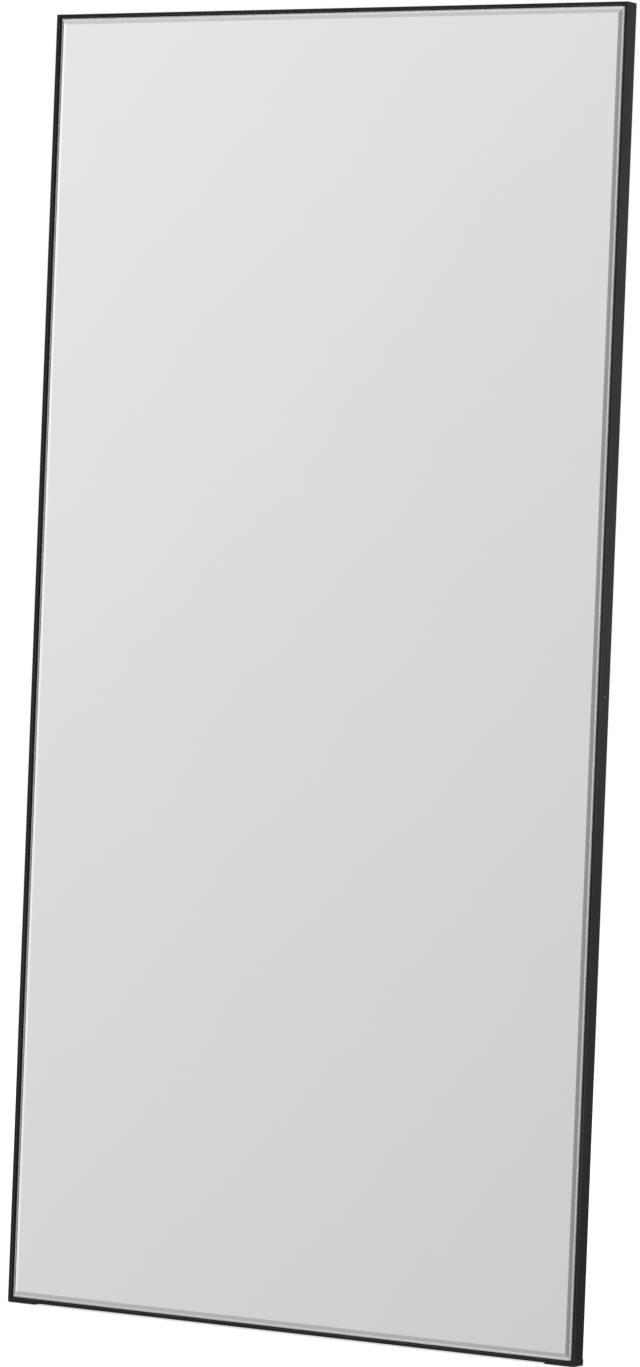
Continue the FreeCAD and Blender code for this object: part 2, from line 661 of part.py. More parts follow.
for corner in CORNERS:
    name = f"corner_key_{corner[0]}"
    plate = make_corner_key(name)
    place(plate, corner[1], LEDGE_BACK, corner[2], UPRIGHT, corner[3])
    nodes.append(cut_away(name, plate, [key_drills]))
    bumper = make_bumper(f"wall_bumper_{corner[0]}")
    x, z = corner_spot(corner, "Sizes.bumper_inset", LEDGE_LINE)
    place(bumper, x, LEDGE_BACK, z)
    nodes.append(bumper)

nodes.append(make_glass())
nodes.append(make_tape())
nodes.append(cut_away("backing_board", make_board(), drills))

for side, line in (("left", f"(-{HANGER_LINE})"), ("right", HANGER_LINE)):
    strap = make_hanger_plate(f"hanger_plate_{side}")
    place(strap, line, LEDGE_BACK, PIVOT_HEIGHT)
    nodes.append(cut_away(f"hanger_plate_{side}", strap, [hanger_drills]))
    ring = make_hanger_ring(f"hanger_ring_{side}")
    place(ring, line, PIVOT_DEPTH, PIVOT_HEIGHT)
    nodes.append(ring)

for side, start in (
    ("left", f"(-{HALF_WIDTH} + Sizes.foot_inset)"),
    ("right", f"({HALF_WIDTH} - Sizes.foot_inset - Sizes.foot_length)"),
):
    foot = make_foot_pad(f"foot_pad_{side}")
    place(foot, start)
    nodes.append(foot)

doc.recompute()
for item in doc.Objects:
    if "Invalid" in item.State or "Error" in item.State:
        raise RuntimeError(f"{item.Name} failed: {item.State}")
for node in nodes:
    node.Label = node.Name
    if node.Shape.isNull() or not node.Shape.isValid():
        raise RuntimeError(f"{node.Name} has no valid shape")

os.makedirs("parts", exist_ok=True)
for node in nodes:
    node.Shape.exportStep(f"parts/{node.Label}.step")
    print(node.Label, len(node.Shape.Solids), round(node.Shape.Volume, 1))
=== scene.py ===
"""A full-length mirror in a thin satin frame: finishes, pane, fasteners and stage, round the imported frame."""

import math

import bmesh
import bpy
from mathutils import Euler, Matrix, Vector


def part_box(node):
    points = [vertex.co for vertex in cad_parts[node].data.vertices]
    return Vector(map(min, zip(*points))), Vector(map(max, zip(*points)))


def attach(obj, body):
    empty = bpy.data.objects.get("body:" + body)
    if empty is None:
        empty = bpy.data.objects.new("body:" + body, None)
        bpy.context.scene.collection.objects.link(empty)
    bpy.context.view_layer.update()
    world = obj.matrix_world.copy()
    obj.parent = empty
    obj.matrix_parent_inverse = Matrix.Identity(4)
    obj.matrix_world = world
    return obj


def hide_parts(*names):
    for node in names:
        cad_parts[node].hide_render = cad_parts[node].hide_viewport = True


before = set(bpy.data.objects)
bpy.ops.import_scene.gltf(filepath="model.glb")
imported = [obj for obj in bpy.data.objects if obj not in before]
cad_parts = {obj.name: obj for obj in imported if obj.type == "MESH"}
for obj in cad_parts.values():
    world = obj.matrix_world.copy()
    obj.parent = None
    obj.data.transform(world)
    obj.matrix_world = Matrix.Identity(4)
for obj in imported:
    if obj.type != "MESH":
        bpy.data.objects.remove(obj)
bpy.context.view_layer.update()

bl_info = {
    "name": "Full-length mirror",
    "version": (1, 0, 0),
    "blender": (4, 5, 0),
    "location": "View3D > Sidebar > Mirror",
    "description": "Dresses a full-length mirror in a thin satin frame and sets its stage",
    "category": "Add Mesh",
}

RAILS = ("left_stile", "right_stile", "top_rail", "bottom_rail")
CORNERS = ("bottom_left", "top_left", "top_right", "bottom_right")
SIDES = ("left", "right")
PAN_SCREW_GROUPS = ("corner_key_screws", "board_screws", "hanger_screws", "bumper_screws")
PANE_LOW, PANE_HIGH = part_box("mirror_glass")
FRAME_HALF_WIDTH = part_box("right_stile")[1].x
FRAME_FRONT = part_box("right_stile")[0].y
FRAME_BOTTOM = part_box("bottom_rail")[0].z
FRAME_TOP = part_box("top_rail")[1].z
FRAME_MIDDLE = (FRAME_BOTTOM + FRAME_TOP) / 2
SIDE_LOW, SIDE_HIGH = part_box("side_screws")
SIDE_PLACE = ((SIDE_LOW.y + SIDE_HIGH.y) / 2, (SIDE_LOW.z + SIDE_HIGH.z) / 2)
SIDE_HEAD = SIDE_HIGH.y - SIDE_LOW.y
SIDE_SHANK = 0.003
SIDE_HEAD_HEIGHT = (SIDE_HEAD - SIDE_SHANK) / 2
SIDE_LENGTH = 0.018
SOCKET_DEPTH = 0.0013
SOCKET_SIDES = 6
SCREW_SIDES = 28
MERGE_REACH = 1e-6
SCREW_SEED = 4
SCREW_SHARP = math.radians(40.0)
# A pan screw's usual shank, the radius of its tip and the length of its point as a share of its shank
PAN_SHANK_LENGTH = 0.009
TIP_RADIUS = 0.0002
POINT_SHARE = 0.8
# How far a shank runs into its head, and how far a side screw's shank stops short of its top
SHANK_OVERLAP = 0.0004
SIDE_SHANK_STOP = 0.0005
FACING = "facing"
# Steps of the soft turn into the bevel, and rings from the frosted strip out to the back
ROLL_STEPS = 4
OUTER_RINGS = 4
PANE_SHARP = math.radians(4.0)
# Stretch of the grinding lines, which run along the rim
GRINDING = (60.0, 4000.0, 60.0)
KEY_PLACE = (4.15, -3.2, 0.9)
FILL_PLACE = (-2.4, 3.4, 2.6)
LAMP_AIM = (0.0, 0.0, 0.9)
FLOOR_TONE = 0.6
FLOOR_GLOW = 0.65
PICTURE_HEIGHT = 36.0
# Height and radius of a pan head's outline, as shares of its height and of its radius
PAN_PROFILE = ((0.0, 0.97), (0.12, 1.0), (0.5, 0.985), (0.75, 0.90), (0.92, 0.72), (1.0, 0.48))


def length(name, description, default):
    """A size in metres that a user may change."""
    return bpy.props.FloatProperty(
        name=name, description=description, default=default, min=0.0, precision=4,
        subtype="DISTANCE", unit="LENGTH",
    )


def share(name, description, default, most=1.0):
    """A plain number that a user may change."""
    return bpy.props.FloatProperty(name=name, description=description, default=default, min=0.0, max=most)


def colour(name, description, default):
    """A linear colour that a user may change."""
    return bpy.props.FloatVectorProperty(
        name=name, description=description, default=default, size=3, min=0.0, max=1.0, subtype="COLOR"
    )


def angle(name, description, degrees):
    """An angle that a user may change."""
    return bpy.props.FloatProperty(
        name=name, description=description, default=math.radians(degrees), subtype="ANGLE", unit="ROTATION"
    )


class PaneSettings(bpy.types.PropertyGroup):
    """Sizes and colours of the bevelled pane."""

    bevel_width: length("Bevel width", "Width of the bevel round the pane, arris included", 0.009)
    bevel_drop: length("Bevel drop", "How far the bevel falls from the face to the arris", 0.0025)
    arris: length("Arris", "Width of the ground arris along the rim", 0.0014)
    land: length("Ground land", "Width of the frosted strip along the rim, arris included", 0.0036)
    roll_width: length("Roll", "Width of the soft turn between the face and the bevel", 0.0016)
    silver: colour("Silver", "Colour of the silvered glass", (0.935, 0.94, 0.938))
    rim: colour("Rim", "Colour of the ground rim", (0.93, 0.95, 0.94))
    shine: share("Land shine", "Share of the silver's reflection that the frosted strip keeps", 0.5)
    paint: colour("Back paint", "Colour of the paint behind the silver", (0.20, 0.22, 0.24))


class FrameSettings(bpy.types.PropertyGroup):
    """Colours and texture of the coated frame."""

    coat: colour("Coat", "Colour of the satin coat", (0.0085, 0.0082, 0.0096))
    rubbed: colour("Rubbed coat", "Colour of the coat where hands have polished it", (0.0135, 0.0129, 0.0150))
    sheen: share("Specular", "Strength of the coat's reflection", 0.15)
    glint: colour("Reflection tint", "Tint of the coat's reflection", (0.95, 0.92, 1.0))
    gloss: share("Roughness", "Roughness of the coat", 0.27)
    peel: length("Orange peel", "Width of one ripple of the coat", 0.0012)
    front_edge: length("Front edge", "Width of the frame's narrow front edge", 0.0045)
    # Painted highlight along the frame's front corners, patchy like wear: how far it reaches, and its lighter
    # coat colour
    wear: length("Highlight", "How far the wear reaches from the front corners of the section", 0.0016)
    worn_and_highlit: colour("Highlit coat", "Colour of the coat along its worn corners", (0.040, 0.039, 0.042))


class HardwareSettings(bpy.types.PropertyGroup):
    """Sizes and colours of the screws and plated steel."""

    head_diameter: length("Head", "Diameter of a pan head", 0.007)
    head_height: length("Head height", "Height of a pan head", 0.0022)
    shank_diameter: length("Shank", "Diameter of a screw's shank", 0.0035)
    recess_width: length("Recess", "Width of the cross recess", 0.0040)
    recess_slot: length("Recess slot", "Width of one arm of the cross recess", 0.0009)
    recess_depth: length("Recess depth", "Depth of the cross recess", 0.0014)
    socket_width: length("Socket", "Width of the side screws' hexagon socket", 0.0025)
    zinc: colour("Zinc", "Colour of zinc-plated steel", (0.62, 0.63, 0.65))
    steel: colour("Steel", "Colour of the side screws where they are worn bright", (0.69, 0.69, 0.69))
    blackened: colour("Blackened steel", "Colour of the side screws' blackened heads", (0.02, 0.02, 0.022))


class BackSettings(bpy.types.PropertyGroup):
    """Colours of the board, the tape and the rubber."""

    board: colour("Board", "Colour of the fibreboard", (0.30, 0.185, 0.095))
    fibre: colour("Fibre", "Colour of the board's pale fibres", (0.47, 0.32, 0.18))
    tape: colour("Tape", "Colour of the foam tape", (0.78, 0.77, 0.74))
    rubber: colour("Rubber", "Colour of the rubber", (0.018, 0.018, 0.019))


class StageSettings(bpy.types.PropertyGroup):
    """Camera, floor and light."""

    azimuth: angle("Azimuth", "Camera's turn to the right of the mirror", 30.72)
    elevation: angle("Elevation", "Camera's look up or down", -0.798)
    roll: angle("Roll", "Camera's roll", 2.2407)
    distance: length("Distance", "From the camera to the point that it looks at", 7.8094)
    target_height: length("Target height", "Height of the point that the camera looks at", 0.90038)
    target_side: length("Target side", "How far right of the middle that point lies", 0.01994)
    lens: share("Lens", "Focal length in millimetres on a picture 36 mm tall", 149.207, 1000.0)
    floor: length("Floor", "Side of the square floor", 30.0)
    ambient: share("Ambient", "Level of the even light", 0.62, 5.0)
    key_power: share("Key light", "Power of the key light in watts", 255.0, 5000.0)
    fill_power: share("Fill light", "Power of the fill light behind the mirror in watts", 90.0, 5000.0)
    lamp_size: length("Lamp size", "Side of each square lamp", 1.6)


class Wiring:
    """Adds nodes to one tree and feeds their sockets with values or with other sockets."""

    def __init__(self, tree):
        self.tree = tree

    def add(self, kind, inputs=None, **settings):
        node = self.tree.nodes.new(kind)
        for name, value in settings.items():
            setattr(node, name, value)
        for name, value in (inputs or {}).items():
            self.feed(node.inputs[name], value)
        return node

    def feed(self, socket, value):
        if isinstance(value, bpy.types.NodeSocket):
            self.tree.links.new(value, socket)
        else:
            socket.default_value = value

    def math(self, operation, *values):
        node = self.add("ShaderNodeMath", operation=operation)
        for socket, value in zip(node.inputs, values):
            self.feed(socket, value)
        return node.outputs[0]

    def noise(self, place, scale, detail=2.0, roughness=0.5):
        inputs = {"Vector": place, "Scale": scale, "Detail": detail, "Roughness": roughness}
        return self.add("ShaderNodeTexNoise", inputs).outputs["Fac"]

    def stretch(self, place, scale):
        return self.add("ShaderNodeMapping", {"Vector": place, "Scale": scale}).outputs["Vector"]

    def spread(self, value, low, high, start=0.3, end=0.7):
        inputs = {"Value": value, "From Min": start, "From Max": end, "To Min": low, "To Max": high}
        return self.add("ShaderNodeMapRange", inputs).outputs["Result"]

    def ramp(self, value, stops):
        node = self.add("ShaderNodeValToRGB", {"Fac": value})
        elements = node.color_ramp.elements
        while len(elements) < len(stops):
            elements.new(0.5)
        for element, (position, tone) in zip(elements, stops):
            element.position = position
            element.color = (*tone, 1.0)
        return node.outputs["Color"]

    def bump(self, height, strength, depth):
        inputs = {"Height": height, "Strength": strength, "Distance": depth}
        return self.add("ShaderNodeBump", inputs).outputs["Normal"]


def start_material(name, **constants):
    """A new material: its wiring, its shader and its object coordinates."""
    material = bpy.data.materials.new(name)
    material.use_nodes = True
    wiring = Wiring(material.node_tree)
    shader = material.node_tree.nodes["Principled BSDF"]
    for socket, value in constants.items():
        shader.inputs[socket.title()].default_value = value
    place = wiring.add("ShaderNodeTexCoord").outputs["Object"]
    return material, wiring, shader, place


def finish_material(wiring, shader, tone=None, roughness=None, normal=None):
    """Feeds the shader's colour, roughness and normal."""
    for name, value in (("Base Color", tone), ("Roughness", roughness), ("Normal", normal)):
        if value is not None:
            wiring.feed(shader.inputs[name], value)


def tinted(tone, factor):
    """A colour made lighter or darker."""
    return tuple(min(1.0, part * factor) for part in tone)


def silver_material(settings):
    """Silvered float glass: a clear mirror with a breath of handling marks."""
    material, wiring, shader, place = start_material("silvered_glass", metallic=1.0)
    marks = wiring.noise(place, 3.0, 5.0, 0.6)
    tone = wiring.ramp(marks, [(0.35, tinted(settings.silver, 0.992)), (0.65, tuple(settings.silver))])
    finish_material(wiring, shader, tone, wiring.spread(marks, 0.004, 0.016))
    return material


def grinding_lines(wiring, place):
    """Fine lines that grinding leaves round the pane."""
    return wiring.noise(wiring.stretch(place, GRINDING), 1.0, 2.0)


def rim_material(settings):
    """Ground glass along the rim, frosted, with grinding lines round the pane."""
    material, wiring, shader, place = start_material("ground_rim")
    lines = grinding_lines(wiring, place)
    tone = wiring.ramp(lines, [(0.3, tinted(settings.rim, 0.96)), (0.7, tuple(settings.rim))])
    finish_material(wiring, shader, tone, wiring.spread(lines, 0.42, 0.5), wiring.bump(lines, 0.04, 0.0001))
    return material


def land_material(settings):
    """The frosted strip of the bevel beside the rim, which still mirrors a little."""
    material, wiring, shader, place = start_material("frosted_land", metallic=settings.shine)
    lines = grinding_lines(wiring, place)
    tone = wiring.ramp(lines, [(0.3, tinted(settings.rim, 0.97)), (0.7, tinted(settings.rim, 1.05))])
    finish_material(wiring, shader, tone, wiring.spread(lines, 0.16, 0.26))
    return material


def back_paint_material(settings):
    """The protective paint behind the silver."""
    material, wiring, shader, place = start_material("back_paint")
    runs = wiring.noise(wiring.stretch(place, (30.0, 30.0, 4.0)), 1.0, 4.0)
    tone = wiring.ramp(runs, [(0.3, tinted(settings.paint, 0.8)), (0.7, tinted(settings.paint, 1.15))])
    finish_material(wiring, shader, tone, wiring.spread(runs, 0.4, 0.6), wiring.bump(runs, 0.15, 0.0003))
    return material


def front_corner_highlight(wiring, place, settings):
    """Mask of the painted highlight: one along the two front corners of the frame's section, falling to nothing
    away from them.
    """
    parts = wiring.add("ShaderNodeSeparateXYZ", {"Vector": place}).outputs
    aside = wiring.math("SUBTRACT", wiring.math("ABSOLUTE", parts["X"]), FRAME_HALF_WIDTH)
    rise = wiring.math("ABSOLUTE", wiring.math("SUBTRACT", parts["Z"], FRAME_MIDDLE))
    above = wiring.math("SUBTRACT", rise, FRAME_TOP - FRAME_MIDDLE)
    inwards = wiring.math("MULTIPLY", wiring.math("MAXIMUM", aside, above), -1.0)
    outer = wiring.spread(inwards, 1.0, 0.0, 0.0, settings.wear)
    to_inner = wiring.math("ABSOLUTE", wiring.math("SUBTRACT", inwards, settings.front_edge))
    inner = wiring.spread(to_inner, 1.0, 0.0, 0.0, settings.wear)
    front = wiring.spread(parts["Y"], 1.0, 0.0, FRAME_FRONT, FRAME_FRONT + settings.wear)
    return wiring.math("MULTIPLY", front, wiring.math("MAXIMUM", outer, inner))


def coat_material(settings):
    """Satin black powder coat with a fine orange peel, slightly polished patches and a painted highlight along
    its front corners.
    """
    material, wiring, shader, place = start_material("satin_black_coat")
    shader.inputs["Specular IOR Level"].default_value = settings.sheen
    shader.inputs["Specular Tint"].default_value = (*settings.glint, 1.0)
    patches = wiring.noise(wiring.stretch(place, (14.0, 14.0, 3.5)), 1.0, 4.0, 0.6)
    grain = wiring.noise(place, 2200.0, 2.0)
    peel = wiring.noise(place, 1.0 / settings.peel, 3.0)
    mixed = wiring.math("ADD", wiring.math("MULTIPLY", patches, 0.8), wiring.math("MULTIPLY", grain, 0.2))
    tone = wiring.ramp(mixed, [(0.34, tuple(settings.coat)), (0.68, tuple(settings.rubbed))])
    # Painted highlight: a lighter coat colour along the front corners, patchy like wear, standing in for the
    # light that the rounded corners catch
    worn_and_highlit = wiring.math("MULTIPLY", front_corner_highlight(wiring, place, settings), wiring.spread(mixed, 0.35, 1.0))
    highlight_mix = {"Fac": worn_and_highlit, "Color1": tone, "Color2": (*settings.worn_and_highlit, 1.0)}
    tone = wiring.add("ShaderNodeMixRGB", highlight_mix).outputs[0]
    roughness = wiring.spread(mixed, settings.gloss + 0.05, settings.gloss - 0.06)
    finish_material(wiring, shader, tone, roughness, wiring.bump(peel, 0.12, 0.0002))
    return material


def zinc_material(settings):
    """Bright zinc plate with a faint spangle and rolling lines."""
    material, wiring, shader, place = start_material("zinc_plate", metallic=1.0)
    spangle = wiring.add("ShaderNodeTexVoronoi", {"Vector": place, "Scale": 260.0}).outputs["Distance"]
    lines = wiring.noise(wiring.stretch(place, (90.0, 90.0, 1400.0)), 1.0, 3.0)
    mixed = wiring.math("ADD", wiring.math("MULTIPLY", spangle, 0.45), wiring.math("MULTIPLY", lines, 0.55))
    tone = wiring.ramp(mixed, [(0.25, tinted(settings.zinc, 0.84)), (0.6, tuple(settings.zinc))])
    finish_material(wiring, shader, tone, wiring.spread(mixed, 0.36, 0.24), wiring.bump(lines, 0.08, 0.0001))
    return material


def steel_material(settings):
    """Blackened steel of the side screws, worn bright round the socket."""
    material, wiring, shader, place = start_material("blackened_steel", metallic=1.0)
    parts = wiring.add("ShaderNodeSeparateXYZ", {"Vector": place}).outputs
    across = wiring.math("SUBTRACT", parts["Y"], SIDE_PLACE[0])
    up = wiring.math("SUBTRACT", parts["Z"], SIDE_PLACE[1])
    squares = [wiring.math("POWER", part, 2.0) for part in (across, up)]
    away = wiring.math("SQRT", wiring.math("ADD", *squares))
    grain = wiring.noise(place, 3000.0, 2.0)
    edge = wiring.math("ADD", wiring.math("DIVIDE", away, SIDE_HEAD), wiring.math("MULTIPLY", grain, 0.05))
    tone = wiring.ramp(edge, [(0.22, tuple(settings.steel)), (0.34, tuple(settings.blackened))])
    finish_material(wiring, shader, tone, wiring.spread(grain, 0.28, 0.42), wiring.bump(grain, 0.05, 0.0001))
    return material


def board_material(settings):
    """Fibreboard: pressed brown fibres with pale flecks."""
    material, wiring, shader, place = start_material("fibreboard")
    cloud = wiring.noise(place, 22.0, 5.0, 0.65)
    flecks = wiring.noise(wiring.stretch(place, (900.0, 900.0, 420.0)), 1.0, 5.0, 0.7)
    mixed = wiring.math("ADD", wiring.math("MULTIPLY", cloud, 0.4), wiring.math("MULTIPLY", flecks, 0.6))
    stops = [(0.3, tinted(settings.board, 0.72)), (0.5, tuple(settings.board)), (0.72, tuple(settings.fibre))]
    tone = wiring.ramp(mixed, stops)
    roughness = wiring.spread(flecks, 0.62, 0.85)
    finish_material(wiring, shader, tone, roughness, wiring.bump(flecks, 0.25, 0.0003))
    return material


def tape_material(settings):
    """White closed-cell foam tape."""
    material, wiring, shader, place = start_material("foam_tape")
    cells = wiring.add("ShaderNodeTexVoronoi", {"Vector": place, "Scale": 2400.0}).outputs["Distance"]
    tone = wiring.ramp(cells, [(0.1, tinted(settings.tape, 0.82)), (0.6, tuple(settings.tape))])
    finish_material(wiring, shader, tone, wiring.spread(cells, 0.7, 0.9), wiring.bump(cells, 0.4, 0.0002))
    return material


def rubber_material(settings):
    """Matt black rubber with a moulded grain and a little dust."""
    material, wiring, shader, place = start_material("black_rubber")
    grain = wiring.noise(place, 1500.0, 3.0)
    dust = wiring.noise(place, 55.0, 5.0, 0.7)
    tone = wiring.ramp(dust, [(0.45, tuple(settings.rubber)), (0.8, tinted(settings.rubber, 3.2))])
    finish_material(wiring, shader, tone, wiring.spread(dust, 0.62, 0.85), wiring.bump(grain, 0.25, 0.0002))
    return material


def add_object(name, mesh):
    """A new piece at the origin, with its place in its mesh."""
    piece = bpy.data.objects.new(name, mesh)
    bpy.context.scene.collection.objects.link(piece)
    return piece


def dress(nodes, material):
    """Gives carried-over nodes their finish."""
    for name in nodes:
        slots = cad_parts[name].data.materials
        slots.clear()
        slots.append(material)


def rectangle(mesh, inset, depth):
    """Four corners of the pane's outline, drawn in by an inset, at one depth."""
    low_x = PANE_LOW.x + inset
    high_x = PANE_HIGH.x - inset
    low_z = PANE_LOW.z + inset
    high_z = PANE_HIGH.z - inset
    corners = ((low_x, low_z), (high_x, low_z), (high_x, high_z), (low_x, high_z))
    return [mesh.verts.new((x, depth, z)) for x, z in corners]


def pane_profile(settings):
    """Insets and depths of the pane's rings, from the face out to the rim and round to the back."""
    face = PANE_LOW.y
    slope = settings.bevel_drop / settings.bevel_width
    arris_depth = face + settings.bevel_drop - slope * settings.arris
    half_roll = settings.roll_width / 2
    roll_start = settings.bevel_width + half_roll
    roll_end = settings.bevel_width - half_roll
    rings = []
    for index in range(ROLL_STEPS + 1):
        part = index / ROLL_STEPS
        inset = roll_start + (roll_end - roll_start) * part
        rings.append((inset, face + slope * half_roll * part * part))
    rings.append((settings.land, face + slope * (settings.bevel_width - settings.land)))
    rings.append((settings.arris, arris_depth))
    rings.append((0.0, arris_depth + settings.arris))
    rings.append((0.0, PANE_HIGH.y))
    return rings


class MIRROR_OT_pane(bpy.types.Operator):
    """Build the silvered pane with its rolled bevel, frosted strip, ground arris and painted back"""

    bl_idname = "mirror.pane"
    bl_label = "Pane"

    def execute(self, context):
        settings = context.scene.mirror_pane
        silver, land, rim, paint = range(4)
        mesh = bmesh.new()
        rings = [rectangle(mesh, inset, depth) for inset, depth in pane_profile(settings)]
        mesh.faces.new(rings[0]).material_index = silver
        land_ring = len(rings) - OUTER_RINGS
        for number, (inner, outer) in enumerate(zip(rings, rings[1:])):
            for corner in range(4):
                after = (corner + 1) % 4
                face = mesh.faces.new((inner[corner], outer[corner], outer[after], inner[after]))
                face.material_index = silver
                if number == land_ring:
                    face.material_index = land
                elif number > land_ring:
                    face.material_index = rim
                face.smooth = number < land_ring
        mesh.faces.new(reversed(rings[-1])).material_index = paint
        bmesh.ops.recalc_face_normals(mesh, faces=mesh.faces)
        data = bpy.data.meshes.new("bevelled_pane")
        mesh.to_mesh(data)
        mesh.free()
        for make in (silver_material, land_material, rim_material, back_paint_material):
            data.materials.append(make(settings))
        data.set_sharp_from_angle(angle=PANE_SHARP)
        pane = add_object("bevelled_pane", data)
        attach(pane, "mirror")
        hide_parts("mirror_glass")
        return {"FINISHED"}


class MIRROR_OT_frame_coat(bpy.types.Operator):
    """Coat the two stiles and two rails"""

    bl_idname = "mirror.frame_coat"
    bl_label = "Frame coat"

    def execute(self, context):
        dress(RAILS, coat_material(context.scene.mirror_frame))
        return {"FINISHED"}


class MIRROR_OT_back_board(bpy.types.Operator):
    """Finish the fibreboard and the foam tape"""

    bl_idname = "mirror.back_board"
    bl_label = "Board and tape"

    def execute(self, context):
        settings = context.scene.mirror_back
        dress(["backing_board"], board_material(settings))
        dress(["mounting_tape"], tape_material(settings))
        return {"FINISHED"}


class MIRROR_OT_rubber(bpy.types.Operator):
    """Finish the wall bumpers and the foot pads"""

    bl_idname = "mirror.rubber"
    bl_label = "Rubber"

    def execute(self, context):
        bumpers = [f"wall_bumper_{corner}" for corner in CORNERS]
        pads = [f"foot_pad_{side}" for side in SIDES]
        dress(bumpers + pads, rubber_material(context.scene.mirror_back))
        return {"FINISHED"}


class MIRROR_OT_plated_steel(bpy.types.Operator):
    """Plate the corner keys, the hanger plates and the hanger rings"""

    bl_idname = "mirror.plated_steel"
    bl_label = "Plated steel"

    def execute(self, context):
        keys = [f"corner_key_{corner}" for corner in CORNERS]
        hangers = [f"hanger_{kind}_{side}" for kind in ("plate", "ring") for side in SIDES]
        dress(keys + hangers, zinc_material(context.scene.mirror_hardware))
        return {"FINISHED"}


def add_input(tree, name, kind, value=None):
    """A named input of a geometry node tree."""
    socket = tree.interface.new_socket(name=name, in_out="INPUT", socket_type=kind)
    if value is not None:
        socket.default_value = value


def start_screw_tree(name, sizes):
    """A geometry node tree with points, a finish and named sizes as inputs, and a geometry as output."""
    tree = bpy.data.node_groups.new(name, "GeometryNodeTree")
    add_input(tree, "Places", "NodeSocketGeometry")
    add_input(tree, "Finish", "NodeSocketMaterial")
    for size, value in sizes.items():
        add_input(tree, size, "NodeSocketFloat", value)
    tree.interface.new_socket(name="Screws", in_out="OUTPUT", socket_type="NodeSocketGeometry")
    wiring = Wiring(tree)
    return tree, wiring, wiring.add("NodeGroupInput").outputs


def cone(wiring, low, bottom, depth, top, sides=SCREW_SIDES):
    """A closed frustum on the screw's axis, its base at a height."""
    inputs = {"Vertices": sides, "Radius Bottom": bottom, "Radius Top": top, "Depth": depth}
    shape = wiring.add("GeometryNodeMeshCone", inputs, fill_type="NGON").outputs["Mesh"]
    lift = wiring.add("ShaderNodeCombineXYZ", {"Z": low}).outputs[0]
    return wiring.add("GeometryNodeTransform", {"Geometry": shape, "Translation": lift}).outputs[0]


def boolean(wiring, operation, base, *tools):
    """Joins closed solids to a base, or cuts them from it."""
    node = wiring.add("GeometryNodeMeshBoolean", operation=operation, solver="EXACT")
    if operation == "DIFFERENCE":
        wiring.feed(node.inputs["Mesh 1"], base)
    else:
        wiring.feed(node.inputs["Mesh 2"], base)
    for tool in tools:
        wiring.feed(node.inputs["Mesh 2"], tool)
    return node.outputs["Mesh"]


def end_screw_tree(wiring, inputs, screw):
    """Sets a copy of the screw at every place, each with its own turn, and gives all of them the finish."""
    facing = wiring.add("GeometryNodeInputNamedAttribute", {"Name": FACING}, data_type="FLOAT_VECTOR")
    turned = wiring.add("FunctionNodeEulerToRotation", {"Euler": facing.outputs[0]}).outputs[0]
    angle_out = wiring.add("FunctionNodeRandomValue", {2: 0.0, 3: math.pi, "Seed": SCREW_SEED}).outputs[1]
    own_turn = wiring.add("FunctionNodeAxisAngleToRotation", {"Axis": (0.0, 0.0, 1.0), "Angle": angle_out})
    rotation = wiring.add(
        "FunctionNodeRotateRotation",
        {"Rotation": turned, "Rotate By": own_turn.outputs[0]},
        rotation_space="LOCAL",
    )
    copies = wiring.add(
        "GeometryNodeInstanceOnPoints",
        {"Points": inputs["Places"], "Instance": screw, "Rotation": rotation.outputs[0]},
    )
    real = wiring.add("GeometryNodeRealizeInstances", {"Geometry": copies.outputs[0]}).outputs[0]
    coated = wiring.add("GeometryNodeSetMaterial", {"Geometry": real, "Material": inputs["Finish"]})
    wiring.add("NodeGroupOutput", {"Screws": coated.outputs[0]})


def pan_screw_tree(settings):
    """A pan-head screw: domed head with a cross recess, shank and point. Its seat is at height zero."""
    sizes = {
        "Head Diameter": settings.head_diameter,
        "Head Height": settings.head_height,
        "Shank Diameter": settings.shank_diameter,
        "Shank Length": PAN_SHANK_LENGTH,
        "Recess Width": settings.recess_width,
        "Recess Slot": settings.recess_slot,
        "Recess Depth": settings.recess_depth,
    }
    tree, wiring, inputs = start_screw_tree("pan_screws", sizes)
    radius = wiring.math("MULTIPLY", inputs["Head Diameter"], 0.5)
    height = inputs["Head Height"]
    head = []
    for (low, wide), (high, narrow) in zip(PAN_PROFILE, PAN_PROFILE[1:]):
        head.append(
            cone(
                wiring,
                wiring.math("MULTIPLY", height, low),
                wiring.math("MULTIPLY", radius, wide),
                wiring.math("MULTIPLY", height, high - low),
                wiring.math("MULTIPLY", radius, narrow),
            )
        )
    shank = wiring.math("MULTIPLY", inputs["Shank Diameter"], 0.5)
    point = wiring.math("MULTIPLY", inputs["Shank Diameter"], POINT_SHARE)
    straight = wiring.math("SUBTRACT", inputs["Shank Length"], point)
    neck = wiring.math("MULTIPLY", straight, -1.0)
    body = cone(wiring, neck, shank, wiring.math("ADD", straight, SHANK_OVERLAP), shank)
    tip = cone(wiring, wiring.math("MULTIPLY", inputs["Shank Length"], -1.0), TIP_RADIUS, point, shank)
    whole = boolean(wiring, "UNION", head[0], *head[1:], body, tip)
    top = wiring.add("ShaderNodeCombineXYZ", {"Z": height}).outputs[0]
    deep = wiring.math("MULTIPLY", inputs["Recess Depth"], 2.0)
    long_way = wiring.add(
        "ShaderNodeCombineXYZ", {"X": inputs["Recess Width"], "Y": inputs["Recess Slot"], "Z": deep}
    ).outputs[0]
    short_way = wiring.add(
        "ShaderNodeCombineXYZ", {"X": inputs["Recess Slot"], "Y": inputs["Recess Width"], "Z": deep}
    ).outputs[0]
    for size in (long_way, short_way):
        arm = wiring.add("GeometryNodeMeshCube", {"Size": size}).outputs["Mesh"]
        arm = wiring.add("GeometryNodeTransform", {"Geometry": arm, "Translation": top}).outputs[0]
        whole = boolean(wiring, "DIFFERENCE", whole, arm)
    end_screw_tree(wiring, inputs, whole)
    return tree


